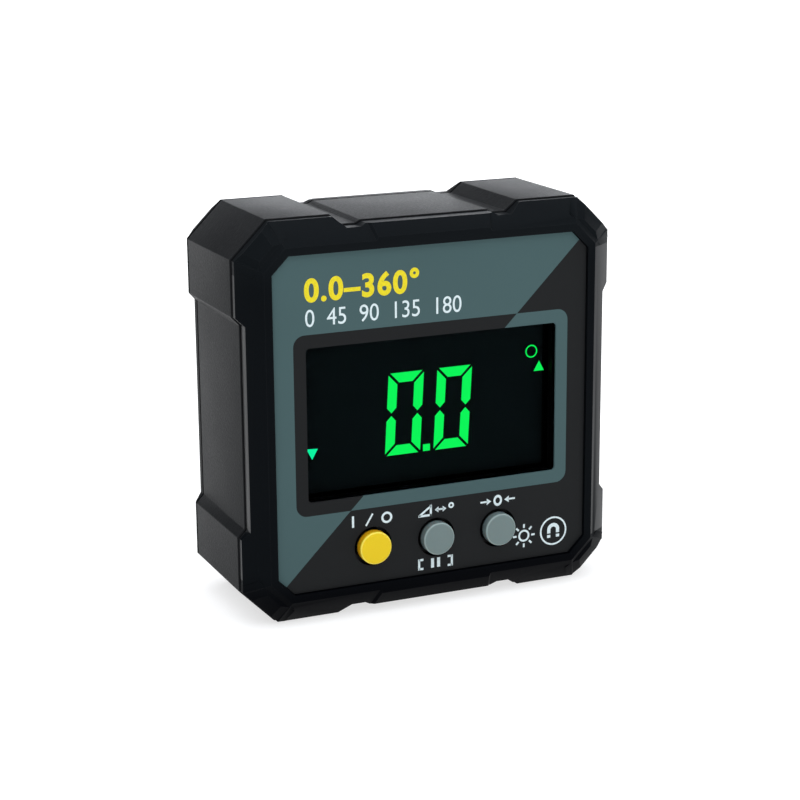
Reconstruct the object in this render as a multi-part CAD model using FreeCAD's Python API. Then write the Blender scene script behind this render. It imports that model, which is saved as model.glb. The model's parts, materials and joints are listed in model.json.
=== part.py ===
import FreeCAD, Part
import math
import os

# Digital angle box, in millimetres: +Z is up, the display faces -Y, and the origin is at the
# centre of the footprint, on the surface that the box stands on.

V = FreeCAD.Vector

# Battery cells and the bay that holds them
cell_length = 44.5
cell_diameter = 10.5
nub_diameter = 3.8
nub_length = 1.0
cell_end_play = 0.5
contact_room = 1.6
cell_gap = 0.6
cell_side_play = 0.35
cell_floor_gap = 0.05
cell_door_gap = 0.4
bay_wall = 1.2
bay_side_room = 1.7

# Magnets and the walls that hide them
magnet_diameter = 5.0
magnet_thickness = 2.0
magnet_play = 0.1
magnet_skin = 1.0

# Outline of the case: corner cuts, measuring blocks, grooves, plateaus and side recesses
corner_leg = 5.4
end_block = 9.75
groove_ramp = 1.85
groove_floor = 2.05
plateau_ramp = 0.85
top_groove_depth = 1.53
top_plateau_depth = 1.1
base_groove_depth = 1.3
base_plateau_depth = 0.8
side_block = 8.25
side_ramp = 1.2
side_recess = 1.15

# Sloped frame in front and behind
bevel_run = 3.7
bevel_rise = 2.76
bezel_strip = 0.75
bezel_step = 0.2
cover_strip = 0.2
corner_pad_outer = 4.28
corner_pad_inner = 2.2
corner_pad_run = 3.1
corner_pad_proud = 0.5
corner_pad_bevel = 1.35
corner_pad_flat = 2.2
centre_pad_margin = 0.4
centre_pad_taper = 1.0
centre_pad_proud = 0.4
centre_pad_bevel = 0.45

# Shell joints
seam_gap = 0.3
seam_inset = 2.2
lip_clearance = 0.1
lip_thickness = 1.0
lip_depth = 1.2
cover_thickness = 1.8

# Face label, display window and pane
label_margin = 4.85
label_play = 0.1
label_thickness = 0.3
label_recess = 0.49
bezel_plate = 1.6
window_width = 40.2
window_height = 23.0
window_corner = 0.6
window_side_strip = 4.95
lens_lap = 1.2
lens_thickness = 1.0
lens_play = 0.1
lens_corner = 1.2
skirt_wall = 1.4

# Display stack on the board
skirt_drop = 0.5
lcd_border = 2.5
lcd_thickness = 1.85
lcd_play = 0.15
lcd_frame_wall = 0.8
lcd_lip_thickness = 0.3
lcd_lip_opening = 0.4
gasket_thickness = 0.5
backlight_thickness = 2.42
backlight_border = 2.0
connector_width = 1.5
connector_end_room = 2.6
lamp_width = 3.0
lamp_depth = 1.0
lamp_height = 1.6
lamp_pitch = 12.0
lamp_gap = 0.15

# Board and what is soldered to it
board_clearance = 0.6
board_thickness = 1.2
component_gap = 2.9
sensor_side = 4.0
sensor_height = 1.1
controller_side = 8.0
controller_height = 1.4
crystal_length = 6.0
crystal_width = 2.5
crystal_height = 1.8
crystal_corner = 0.8
capacitor_length = 1.6
capacitor_width = 0.8
capacitor_height = 0.9
sensor_place_share = (-0.1, 0.78)
controller_place_share = (0.28, 0.75)
crystal_place_share = (-0.38, 0.8)
capacitor_place_shares = (
    (-0.32, 0.62), (-0.2, 0.62), (0.02, 0.6), (0.5, 0.62), (-0.1, -0.78), (0.14, -0.78),
)

# Push-buttons and key switches
button_pitch = 10.25
button_offset = 0.25
button_drop = 7.95
button_strip = 5.6
button_travel = 0.5
cap_diameter = 5.0
cap_clearance = 0.5
cap_proud = 1.25
cap_edge = 0.35
flange_width = 0.7
flange_thickness = 0.8
flange_gap = 0.1
stem_diameter = 3.6
plunger_diameter = 3.4
plunger_play = 0.08
plunger_height = 0.9
plunger_grip = 1.0
plunger_end_room = 0.2
switch_side = 6.0
switch_height = 2.6
switch_edge = 0.3

# Screws
screw_corner_gap = 1.9
screw_diameter = 2.2
screw_fit = 0.05
screw_clearance = 0.2
screw_head_diameter = 4.0
screw_head_height = 1.5
screw_head_play = 0.2
screw_head_recess = 2.0
screw_boss_wall = 1.5
screw_tip_gap = 0.5
cross_width = 0.7
cross_depth = 0.8
cross_share = 0.62
head_edge_share = 0.33
board_screw_gap = 0.7
board_screw_diameter = 1.6
board_screw_length = 4.0
board_screw_head_diameter = 3.0
board_screw_head_height = 1.1
board_post_wall = 1.15

# Battery door
door_thickness = 1.6
door_lap = 0.8
door_clearance = 0.15
door_seat_gap = 0.05
door_corner = 1.0
door_pad_thickness = 0.3
door_pad_width = 24.0
door_pad_height = 14.0
hook_spacing = 24.0
hook_width = 5.0
hook_play = 0.16
hook_thickness = 1.1
hook_reach = 1.05
hook_root = 0.85
hook_side_room = 0.4
hook_swing_room = 0.7
scoop_radius = 20.0
scoop_depth = 0.9
tongue_width = 11.0
tongue_length = 7.0
tongue_slit = 0.6

# Battery contacts
contact_side = 8.0
contact_thickness = 0.3
contact_touch_gap = 0.1
dome_diameter = 3.4
leaf_width = 4.0
leaf_half_length = 3.2
tail_width = 1.5
tail_play = 0.15

# How far a cut or a joined root runs past the face that it starts from
overrun = 0.5

# Kind of outline offset whose corners stay sharp
mitred_join = 2

# Sizes that follow from the cells, the walls and the stack of parts
housing_wall = magnet_thickness + magnet_skin
bay_half_x = (cell_length + cell_end_play) / 2 + contact_room
bay_half_z = (2 * cell_diameter + cell_gap) / 2 + cell_side_play
window_half_x = window_width / 2
window_half_z = window_height / 2
label_inset = label_margin + label_play
half_for_bay = bay_half_x + bay_wall + bay_side_room + housing_wall
half_for_window = window_half_x + window_side_strip + label_inset
half_for_buttons = window_half_z + button_drop + button_strip + label_inset
case_half = max(half_for_bay, half_for_window, half_for_buttons)
case_mid_z = case_half
case_top_z = 2 * case_half
bevel_slope = bevel_rise / bevel_run
inset_leg_share = 2 - math.sqrt(2)
corner_distance = (2 * case_half - corner_leg) / math.sqrt(2)
block_start = case_half - corner_leg
block_end = block_start - end_block
groove_start = block_end - groove_ramp
groove_end = groove_start - groove_floor
plateau_half = groove_end - plateau_ramp
centre_pad_outer = 2 * (plateau_half - centre_pad_margin)
centre_pad_inner = centre_pad_outer - 2 * centre_pad_taper
bezel_depth = bezel_strip + bevel_rise
cell_radius = cell_diameter / 2
cell_offset_z = (cell_diameter + cell_gap) / 2
button_reach = cap_proud - label_recess

# Places along Y, from the front of the buttons to the flat of the back
lcd_setback = label_thickness + bezel_plate + skirt_drop + gasket_thickness + lcd_lip_thickness
back_stack = (
    label_recess - bezel_depth + lcd_setback + lcd_thickness + backlight_thickness + board_thickness
    + component_gap + bay_wall + cell_floor_gap + cell_diameter + cell_door_gap + door_thickness
)
total_depth = button_reach + bezel_depth + back_stack
button_front_y = -total_depth / 2
band_y = button_front_y + button_reach
front_joint_y = band_y + bezel_depth
label_front_y = band_y + label_recess
label_seat_y = label_front_y + label_thickness
plate_back_y = label_seat_y + bezel_plate
skirt_end_y = plate_back_y + skirt_drop
frame_front_y = skirt_end_y + gasket_thickness
lcd_front_y = frame_front_y + lcd_lip_thickness
lcd_back_y = lcd_front_y + lcd_thickness
board_front_y = lcd_back_y + backlight_thickness
board_back_y = board_front_y + board_thickness
bay_floor_front_y = board_back_y + component_gap
bay_floor_back_y = bay_floor_front_y + bay_wall
cell_y = bay_floor_back_y + cell_floor_gap + cell_radius
door_inner_y = cell_y + cell_radius + cell_door_gap
back_y = door_inner_y + door_thickness
cover_inner_y = back_y - cover_thickness
rear_joint_y = back_y - bevel_rise - cover_strip
housing_mid_y = (front_joint_y + rear_joint_y) / 2

# Places of the rows and patterns across the case
board_half = case_half - housing_wall - board_clearance
lip_outer_inset = housing_wall + lip_clearance
lip_inner_inset = lip_outer_inset + lip_thickness
panel_half_x = window_half_x + lcd_border
panel_half_z = window_half_z + lcd_border
backlight_half_x = panel_half_x - backlight_border
backlight_half_z = panel_half_z - backlight_border
button_z = case_mid_z - window_half_z - button_drop
button_places = [button_offset + step * button_pitch for step in (-1, 0, 1)]
hole_radius = cap_diameter / 2 + cap_clearance
flange_front_y = plate_back_y + flange_gap
flange_back_y = flange_front_y + flange_thickness
switch_front_y = board_front_y - switch_height
plunger_front_y = switch_front_y - plunger_height
plunger_back_y = switch_front_y + plunger_grip
screw_seat_y = back_y - screw_head_recess
screw_boss_radius = screw_diameter / 2 + screw_boss_wall
screw_side = (corner_distance - housing_wall - screw_corner_gap - screw_boss_radius) / math.sqrt(2)
board_screw_side = screw_side - screw_boss_radius - board_screw_gap - board_screw_head_diameter / 2
board_post_radius = board_screw_diameter / 2 + board_post_wall
corner_signs = [(x, z) for x in (-1, 1) for z in (-1, 1)]
screw_places = [(x * screw_side, case_mid_z + z * screw_side) for x, z in corner_signs]
board_screw_places = [(x * board_screw_side, case_mid_z + z * screw_side) for x, z in corner_signs]
door_half_x = bay_half_x + door_lap
door_half_z = bay_half_z + door_lap
opening_half_x = door_half_x + door_clearance
opening_half_z = door_half_z + door_clearance
opening_low_z = case_mid_z - opening_half_z
door_seat_y = door_inner_y - door_seat_gap
cell_end_x = cell_length / 2


def box(x0, x1, y0, y1, z0, z1):
    return Part.makeBox(x1 - x0, y1 - y0, z1 - z0, V(x0, y0, z0))


def centred_box(half_x, half_z, y0, y1, x=0, z=case_mid_z):
    return box(x - half_x, x + half_x, y0, y1, z - half_z, z + half_z)


def rod(radius, x, z, y0, y1):
    return Part.makeCylinder(radius, y1 - y0, V(x, y0, z), V(0, 1, 0))


def circles_at(solid, y):
    """Round edges of a rod that lie in the plane at this depth."""
    return [edge for edge in solid.Edges if edge.Closed and abs(edge.CenterOfMass.y - y) < overrun]


def prism(points, y0, y1, inset=0):
    """Block with the outline of the points, whose sides all stand back by an inset."""
    corners = [V(x, y0, z) for x, z in points]
    face = Part.Face(Part.makePolygon(corners + corners[:1]))
    if inset:
        face = face.makeOffset2D(-inset, mitred_join)
    return face.extrude(V(0, y1 - y0, 0))


def rounded_plate(half_x, half_z, radius, y0, y1):
    plate = centred_box(half_x, half_z, y0, y1)
    edges = [edge for edge in plate.Edges if abs(edge.tangentAt(edge.FirstParameter).y) == 1]
    return plate.makeFillet(radius, edges)


def solid_between(low, high):
    """Closed solid between two outlines with as many corners, whose matching edges are parallel."""
    count = len(low)
    faces = [Part.Face(Part.makePolygon(low + low[:1])), Part.Face(Part.makePolygon(high + high[:1]))]
    for i in range(count):
        j = (i + 1) % count
        faces.append(Part.Face(Part.makePolygon([low[i], low[j], high[j], high[i], low[i]])))
    solid = Part.Solid(Part.makeShell(faces))
    if solid.Volume < 0:
        solid.reverse()
    return solid


def octagon(inset):
    """Corners of the case's octagon, moved in by an inset, or out by a negative one."""
    half = case_half - inset
    flat = half - corner_leg + inset_leg_share * inset
    quarter = [(half, flat), (flat, half)]
    points = []
    for turn in range(4):
        for x, z in quarter:
            for _ in range(turn):
                x, z = -z, x
            points.append((x, case_mid_z + z))
    return points


def octagon_prism(inset, y0, y1):
    return prism(octagon(inset), y0, y1)


def end_side(groove_depth, plateau_depth):
    """Right half of the top or bottom edge, as distance from the middle and depth below the blocks."""
    return [
        (block_start, 0),
        (block_end, 0),
        (groove_start, groove_depth),
        (groove_end, groove_depth),
        (plateau_half, plateau_depth),
    ]


def flank():
    """Upper half of a side edge, as height above the middle and depth below the blocks."""
    side_end = block_start - side_block
    return [(block_start, 0), (side_end, 0), (side_end - side_ramp, side_recess)]


def case_outline():
    top = end_side(top_groove_depth, top_plateau_depth)
    base = end_side(base_groove_depth, base_plateau_depth)
    side = flank()
    points = [(-x, depth) for x, depth in base]
    points += [(x, depth) for x, depth in reversed(base)]
    points += [(case_half - depth, case_mid_z - z) for z, depth in side]
    points += [(case_half - depth, case_mid_z + z) for z, depth in reversed(side)]
    points += [(x, case_top_z - depth) for x, depth in top]
    points += [(-x, case_top_z - depth) for x, depth in reversed(top)]
    points += [(depth - case_half, case_mid_z + z) for z, depth in side]
    points += [(depth - case_half, case_mid_z - z) for z, depth in reversed(side)]
    return points


def slope_pad(angle, distance, outer, inner, run, proud, bevel, joint_y, strip, toward):
    """Raised pad on one facet of the sloped frame, with bevelled sides that run below the facet."""
    out = V(math.cos(angle), 0, math.sin(angle))
    along = V(-math.sin(angle), 0, math.cos(angle))
    centre = V(0, 0, case_mid_z)
    spread = bevel * (proud + overrun) / proud

    def corner(side, inset, lift, extra):
        half = outer / 2 + (inner - outer) / 2 * inset / run + extra
        depth = V(0, joint_y + toward * (strip + lift + bevel_slope * inset), 0)
        return centre + out * (distance - inset) + along * (side * half) + depth

    ends = [(-1, -overrun), (1, -overrun), (1, run), (-1, run)]
    low = [corner(side, inset, -overrun, spread) for side, inset in ends]
    high = [corner(side, inset, proud, 0) for side, inset in ends]
    return solid_between(low, high)


def sloped_frame(joint_y, strip, toward):
    """Frustum that shapes the front or the back, with its corner pads and the pads on its middle."""
    flat_y = joint_y + toward * (strip + bevel_rise)
    wide = (strip + overrun) / bevel_slope
    low = [V(x, joint_y - toward * overrun, z) for x, z in octagon(-wide)]
    high = [V(x, flat_y, z) for x, z in octagon(bevel_run)]
    frame = solid_between(low, high)
    reach = case_half + overrun
    pad_y = joint_y + toward * (strip + corner_pad_flat)
    for quarter in range(4):
        angle = math.pi / 4 + quarter * math.pi / 2
        pad = slope_pad(
            angle, corner_distance, corner_pad_outer, corner_pad_inner, corner_pad_run,
            corner_pad_proud, corner_pad_bevel, joint_y, strip, toward,
        )
        ends = sorted([joint_y - toward * corner_leg, pad_y])
        frame = frame.fuse(pad.common(centred_box(reach, reach, ends[0], ends[1])))
    for angle in (math.pi / 2, -math.pi / 2):
        pad = slope_pad(
            angle, case_half, centre_pad_outer, centre_pad_inner, bevel_run,
            centre_pad_proud, centre_pad_bevel, joint_y, strip, toward,
        )
        ends = sorted([joint_y - toward * corner_leg, flat_y])
        frame = frame.fuse(pad.common(centred_box(reach, reach, ends[0], ends[1])))
    return frame


def locating_lip(joint_y, toward):
    """Ring that reaches into the middle shell and centres it."""
    ends = sorted([joint_y + toward * overrun, joint_y - toward * lip_depth])
    lip = octagon_prism(lip_outer_inset, ends[0], ends[1])
    return lip.cut(octagon_prism(lip_inner_inset, ends[0], ends[1]))


def make_front_bezel():
    block = prism(case_outline(), band_y - overrun, front_joint_y, bezel_step)
    bezel = block.common(sloped_frame(front_joint_y, bezel_strip, -1))
    bezel = bezel.cut(octagon_prism(label_margin, band_y - overrun, label_seat_y))
    bezel = bezel.cut(octagon_prism(lip_inner_inset, plate_back_y, front_joint_y + overrun))
    bezel = bezel.fuse(locating_lip(front_joint_y, -1))
    skirt_x = window_half_x + skirt_wall
    skirt_z = window_half_z + skirt_wall
    bezel = bezel.fuse(centred_box(skirt_x, skirt_z, label_seat_y, skirt_end_y))
    for x, z in screw_places:
        bezel = bezel.fuse(rod(screw_boss_radius, x, z, label_seat_y, board_front_y))
    for x, z in board_screw_places:
        bezel = bezel.fuse(rod(board_post_radius, x, z, label_seat_y, board_front_y))
    rebate = rounded_plate(
        window_half_x + lens_lap, window_half_z + lens_lap, lens_corner, label_seat_y - overrun,
        label_seat_y + lens_thickness,
    )
    bezel = bezel.cut(rebate)
    window = rounded_plate(
        window_half_x, window_half_z, window_corner, band_y, front_joint_y + overrun,
    )
    bezel = bezel.cut(window)
    for x in button_places:
        bezel = bezel.cut(rod(hole_radius, x, button_z, band_y, plate_back_y + overrun))
    end_y = board_front_y + overrun
    for x, z in screw_places:
        bezel = bezel.cut(rod(screw_diameter / 2 + screw_fit, x, z, plate_back_y, end_y))
    for x, z in board_screw_places:
        tip_y = board_back_y - board_screw_length - screw_tip_gap
        bezel = bezel.cut(rod(board_screw_diameter / 2 + screw_fit, x, z, tip_y, end_y))
    return bezel.removeSplitter()


def make_face_label():
    label = octagon_prism(label_margin + label_play, label_front_y, label_seat_y)
    ends = (label_front_y - overrun, label_seat_y + overrun)
    window = rounded_plate(window_half_x, window_half_z, window_corner, ends[0], ends[1])
    label = label.cut(window)
    for x in button_places:
        label = label.cut(rod(hole_radius, x, button_z, ends[0], ends[1]))
    return label


def make_display_lens():
    reach = lens_lap - lens_play
    return rounded_plate(
        window_half_x + reach, window_half_z + reach, lens_corner - lens_play, label_seat_y,
        label_seat_y + lens_thickness,
    )


def make_display_gasket():
    ring = centred_box(
        window_half_x + skirt_wall, window_half_z + skirt_wall, skirt_end_y, frame_front_y,
    )
    return ring.cut(centred_box(
        window_half_x + lcd_lip_opening, window_half_z + lcd_lip_opening,
        skirt_end_y - overrun, frame_front_y + overrun,
    ))


def make_lcd_frame():
    inner_x = panel_half_x + lcd_play
    inner_z = panel_half_z + lcd_play
    outer_x = inner_x + lcd_frame_wall
    outer_z = inner_z + lcd_frame_wall
    frame = centred_box(outer_x, outer_z, frame_front_y, board_front_y)
    frame = frame.cut(centred_box(inner_x, inner_z, lcd_front_y, board_front_y + overrun))
    return frame.cut(centred_box(
        window_half_x + lcd_lip_opening, window_half_z + lcd_lip_opening,
        frame_front_y - overrun, lcd_front_y + overrun,
    ))


def make_lcd_panel():
    return centred_box(panel_half_x, panel_half_z, lcd_front_y, lcd_back_y)


def make_lcd_backlight():
    return centred_box(backlight_half_x, backlight_half_z, lcd_back_y, board_front_y)


def make_backlight_lamps():
    x = backlight_half_x + lamp_gap + lamp_depth / 2
    places = [case_mid_z + side * lamp_pitch / 2 for side in (-1, 1)]
    lamp_y = board_front_y - lamp_height
    return Part.makeCompound([
        centred_box(lamp_depth / 2, lamp_width / 2, lamp_y, board_front_y, x, z) for z in places
    ])


def make_lcd_connectors():
    offset = (backlight_half_z + panel_half_z) / 2
    half_x = panel_half_x - connector_end_room
    places = [case_mid_z + side * offset for side in (-1, 1)]
    return Part.makeCompound([
        centred_box(half_x, connector_width / 2, lcd_back_y, board_front_y, 0, z) for z in places
    ])


def magnet_sets():
    """Centre and outward direction of each magnet's outer face, by side of the case."""
    end_place = block_start - end_block / 2
    side_place = block_start - side_block / 2
    depth = case_half - magnet_skin
    centre = V(0, housing_mid_y, case_mid_z)
    sets = {"base": V(0, 0, -1), "top": V(0, 0, 1), "left": V(-1, 0, 0), "right": V(1, 0, 0)}
    places = {}
    for name, out in sets.items():
        along = V(out.z, 0, out.x)
        spread = end_place if out.z else side_place
        places[name] = [(centre + out * depth + along * (side * spread), out) for side in (-1, 1)]
    return places


def disc(radius, thickness, start, out):
    return Part.makeCylinder(radius, thickness, start, out * -1)


def make_mid_housing():
    housing = prism(case_outline(), front_joint_y, rear_joint_y)
    housing = housing.cut(octagon_prism(housing_wall, front_joint_y - overrun, rear_joint_y + overrun))
    seams = [
        (front_joint_y - overrun, front_joint_y + seam_gap),
        (rear_joint_y - seam_gap, rear_joint_y + overrun),
    ]
    for y0, y1 in seams:
        ring = octagon_prism(-overrun, y0, y1).cut(octagon_prism(seam_inset, y0, y1))
        housing = housing.cut(ring)
    for places in magnet_sets().values():
        for start, out in places:
            pocket = disc(magnet_diameter / 2 + magnet_play, magnet_thickness + overrun, start, out)
            housing = housing.cut(pocket)
    return housing.removeSplitter()


def make_magnets(side):
    radius = magnet_diameter / 2
    places = magnet_sets()[side]
    return Part.makeCompound([disc(radius, magnet_thickness, start, out) for start, out in places])


def thumb_scoop():
    top_z = case_mid_z + opening_half_z
    return Part.makeSphere(scoop_radius, V(0, back_y + scoop_radius - scoop_depth, top_z))


def hook_places():
    return [side * hook_spacing / 2 for side in (-1, 1)]


def cut_hook_slots(cover):
    half = hook_width / 2 + hook_side_room
    low_y = cover_inner_y - hook_play - hook_thickness - hook_swing_room
    wall_low_z = case_mid_z - bay_half_z - bay_wall - overrun
    wall_high_z = case_mid_z - bay_half_z + overrun
    for x in hook_places():
        cover = cover.cut(box(x - half, x + half, low_y, cover_inner_y, wall_low_z, wall_high_z))
        cover = cover.cut(box(x - half, x + half, low_y, door_inner_y, opening_low_z, wall_high_z))
    return cover


def make_rear_cover():
    block = prism(case_outline(), rear_joint_y, back_y + overrun)
    cover = block.common(sloped_frame(rear_joint_y, cover_strip, 1))
    cover = cover.cut(octagon_prism(lip_inner_inset, rear_joint_y - overrun, cover_inner_y))
    cover = cover.fuse(locating_lip(rear_joint_y, 1))
    outer_x = bay_half_x + bay_wall
    outer_z = bay_half_z + bay_wall
    cover = cover.fuse(centred_box(outer_x, outer_z, bay_floor_front_y, back_y))
    for x, z in screw_places:
        cover = cover.fuse(rod(screw_boss_radius, x, z, board_back_y, back_y))
    cover = cover.cut(centred_box(bay_half_x, bay_half_z, bay_floor_back_y, back_y + overrun))
    opening = rounded_plate(
        opening_half_x, opening_half_z, door_corner, door_seat_y, back_y + overrun,
    )
    cover = cover.cut(opening)
    cover = cut_hook_slots(cover)
    cover = cover.cut(thumb_scoop())
    for x, z in screw_places:
        bore_radius = screw_diameter / 2 + screw_clearance
        head_radius = screw_head_diameter / 2 + screw_head_play
        cover = cover.cut(rod(bore_radius, x, z, board_back_y - overrun, back_y))
        cover = cover.cut(rod(head_radius, x, z, screw_seat_y, back_y + overrun))
    for z in (case_mid_z - cell_offset_z, case_mid_z + cell_offset_z):
        half = tail_width / 2 + tail_play
        x1 = contact_thickness + tail_play - bay_half_x
        y0 = bay_floor_front_y - overrun
        y1 = bay_floor_back_y + overrun
        cover = cover.cut(box(-bay_half_x, x1, y0, y1, z - half, z + half))
    return cover.removeSplitter()


def make_battery_door():
    door = rounded_plate(door_half_x, door_half_z, door_corner, door_inner_y, back_y)
    low_z = case_mid_z - door_half_z
    toe_y = cover_inner_y - hook_play
    for x in hook_places():
        x0 = x - hook_width / 2
        x1 = x + hook_width / 2
        heel_y = toe_y - hook_thickness
        toe_z = low_z - door_clearance - hook_reach
        door = door.fuse(box(x0, x1, heel_y, door_inner_y + overrun, low_z, low_z + hook_root))
        door = door.fuse(box(x0, x1, heel_y, toe_y, toe_z, low_z + hook_root))
    top_z = case_mid_z + door_half_z
    for side in (-1, 1):
        x = side * tongue_width / 2
        door = door.cut(centred_box(
            tongue_slit / 2, tongue_length, door_inner_y - overrun, back_y + overrun, x, top_z,
        ))
    return door.cut(thumb_scoop()).removeSplitter()


def make_door_pad():
    front_y = door_inner_y - door_pad_thickness
    return centred_box(door_pad_width / 2, door_pad_height / 2, front_y, door_inner_y)


def make_battery_cell(offset_z, toward):
    """Cell along X whose nub points left or right."""
    z = case_mid_z + offset_z
    body_length = cell_length - nub_length
    start = V(-toward * cell_end_x, cell_y, z)
    body = Part.makeCylinder(cell_radius, body_length, start, V(toward, 0, 0))
    nub = Part.makeCylinder(nub_diameter / 2, cell_length, start, V(toward, 0, 0))
    return body.fuse(nub)


def contact_plate(side, low_z, high_z):
    x0, x1 = sorted([side * bay_half_x, side * (bay_half_x - contact_thickness)])
    half = contact_side / 2
    return box(x0, x1, cell_y - half, cell_y + half, low_z - half, high_z + half)


def contact_dome(side, z):
    start_x = side * (bay_half_x - contact_thickness / 2)
    height = bay_half_x - contact_thickness / 2 - cell_end_x - contact_touch_gap
    return Part.makeCylinder(dome_diameter / 2, height, V(start_x, cell_y, z), V(-side, 0, 0))


def contact_leaf(side, z):
    """Bowed strip that presses on the flat end of a cell."""
    base_x = bay_half_x - contact_thickness
    peak_x = cell_end_x + contact_touch_gap
    low_z = z - leaf_width / 2
    inner_half = leaf_half_length - contact_thickness

    def bow(half, peak):
        ends = [V(side * base_x, cell_y - half, low_z), V(side * base_x, cell_y + half, low_z)]
        return Part.Arc(ends[0], V(side * peak, cell_y, low_z), ends[1]).toShape(), ends

    outer, outer_ends = bow(leaf_half_length, peak_x)
    inner, inner_ends = bow(inner_half, peak_x + contact_thickness)
    feet = [Part.makeLine(outer_ends[i], inner_ends[i]) for i in (0, 1)]
    outline = Part.Wire(Part.__sortEdges__([outer, feet[0], inner, feet[1]]))
    return Part.Face(outline).extrude(V(0, 0, leaf_width))


def contact_tail(z):
    x0 = -bay_half_x
    return box(
        x0, x0 + contact_thickness, board_back_y, cell_y, z - tail_width / 2, z + tail_width / 2,
    )


def make_positive_contact():
    z = case_mid_z + cell_offset_z
    return contact_plate(-1, z, z).fuse([contact_dome(-1, z), contact_tail(z)]).removeSplitter()


def make_negative_contact():
    z = case_mid_z - cell_offset_z
    return contact_plate(-1, z, z).fuse([contact_leaf(-1, z), contact_tail(z)]).removeSplitter()


def make_link_contact():
    low_z = case_mid_z - cell_offset_z
    high_z = case_mid_z + cell_offset_z
    plate = contact_plate(1, low_z, high_z)
    return plate.fuse([contact_leaf(1, high_z), contact_dome(1, low_z)]).removeSplitter()


def make_main_board():
    board = octagon_prism(case_half - board_half, board_front_y, board_back_y)
    ends = (board_front_y - overrun, board_back_y + overrun)
    for x, z in screw_places:
        board = board.cut(rod(screw_diameter / 2 + screw_clearance, x, z, ends[0], ends[1]))
    for x, z in board_screw_places:
        board = board.cut(rod(board_screw_diameter / 2 + screw_clearance, x, z, ends[0], ends[1]))
    return board


def on_board_back(place_share, length, width, height):
    x = place_share[0] * board_half
    z = case_mid_z + place_share[1] * board_half
    return centred_box(length / 2, width / 2, board_back_y, board_back_y + height, x, z)


def make_sensor_chip():
    return on_board_back(sensor_place_share, sensor_side, sensor_side, sensor_height)


def make_controller_chip():
    return on_board_back(controller_place_share, controller_side, controller_side, controller_height)


def make_clock_crystal():
    can = on_board_back(crystal_place_share, crystal_length, crystal_width, crystal_height)
    edges = [edge for edge in can.Edges if abs(edge.tangentAt(edge.FirstParameter).y) == 1]
    return can.makeFillet(crystal_corner, edges)


def make_capacitors():
    size = (capacitor_length, capacitor_width, capacitor_height)
    return Part.makeCompound([on_board_back(place, *size) for place in capacitor_place_shares])


def make_button(x):
    cap = rod(cap_diameter / 2, x, button_z, button_front_y, flange_back_y)
    cap = cap.makeFillet(cap_edge, circles_at(cap, button_front_y))
    flange = rod(hole_radius + flange_width, x, button_z, flange_front_y, flange_back_y)
    stem = rod(stem_diameter / 2, x, button_z, flange_front_y, plunger_front_y)
    return cap.fuse([flange, stem]).removeSplitter()


def make_plunger(x):
    return rod(plunger_diameter / 2, x, button_z, plunger_front_y, plunger_back_y)


def make_switch(x):
    half = switch_side / 2
    body = centred_box(half, half, switch_front_y, board_front_y, x, button_z)
    rim = [edge for edge in body.Edges if abs(edge.CenterOfMass.y - switch_front_y) < switch_edge]
    body = body.makeChamfer(switch_edge, rim)
    well_radius = plunger_diameter / 2 + plunger_play
    well_y = plunger_back_y + button_travel + plunger_end_room
    return body.cut(rod(well_radius, x, button_z, switch_front_y - overrun, well_y))


def cross_slot(x, z, head_diameter, face_y):
    """Crossed slots in a screw head whose top faces the back."""
    reach = head_diameter * cross_share / 2
    half = cross_width / 2
    flat = centred_box(reach, half, face_y - cross_depth, face_y + overrun, x, z)
    return flat.fuse(centred_box(half, reach, face_y - cross_depth, face_y + overrun, x, z))


def make_screw(x, z, diameter, tip_y, seat_y, head_diameter, head_height):
    face_y = seat_y + head_height
    head = rod(head_diameter / 2, x, z, seat_y, face_y)
    rim = circles_at(head, face_y)
    head = head.makeFillet(head_height * head_edge_share, rim)
    shank = rod(diameter / 2, x, z, tip_y, seat_y)
    return head.fuse(shank).cut(cross_slot(x, z, head_diameter, face_y)).removeSplitter()


def make_case_screws():
    tip_y = plate_back_y + screw_tip_gap
    head = (screw_head_diameter, screw_head_height)
    return Part.makeCompound([
        make_screw(x, z, screw_diameter, tip_y, screw_seat_y, *head) for x, z in screw_places
    ])


def make_board_screws():
    tip_y = board_back_y - board_screw_length
    head = (board_screw_head_diameter, board_screw_head_height)
    return Part.makeCompound([
        make_screw(x, z, board_screw_diameter, tip_y, board_back_y, *head) for x, z in board_screw_places
    ])


def make_nodes():
    nodes = {
        "front_bezel": make_front_bezel(),
        "face_label": make_face_label(),
        "display_lens": make_display_lens(),
        "display_gasket": make_display_gasket(),
        "lcd_frame": make_lcd_frame(),
        "lcd_panel": make_lcd_panel(),
        "lcd_backlight": make_lcd_backlight(),
        "backlight_lamps": make_backlight_lamps(),
        "lcd_connectors": make_lcd_connectors(),
        "mid_housing": make_mid_housing(),
        "rear_cover": make_rear_cover(),
        "battery_door": make_battery_door(),
        "door_pad": make_door_pad(),
        "battery_cell_upper": make_battery_cell(cell_offset_z, -1),
        "battery_cell_lower": make_battery_cell(-cell_offset_z, 1),
        "positive_contact": make_positive_contact(),
        "negative_contact": make_negative_contact(),
        "link_contact": make_link_contact(),
        "main_board": make_main_board(),
        "sensor_chip": make_sensor_chip(),
        "controller_chip": make_controller_chip(),
        "clock_crystal": make_clock_crystal(),
        "capacitors": make_capacitors(),
        "case_screws": make_case_screws(),
        "board_screws": make_board_screws(),
    }
    for key, x in zip(("power", "hold", "zero"), button_places):
        nodes[key + "_button"] = make_button(x)
        nodes[key + "_plunger"] = make_plunger(x)
        nodes[key + "_switch"] = make_switch(x)
    for side in ("base", "top", "left", "right"):
        nodes[side + "_magnets"] = make_magnets(side)
    return nodes


os.makedirs("parts", exist_ok=True)
for name, shape in make_nodes().items():
    shape.exportStep("parts/" + name + ".step")
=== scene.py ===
import json
import math

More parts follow.
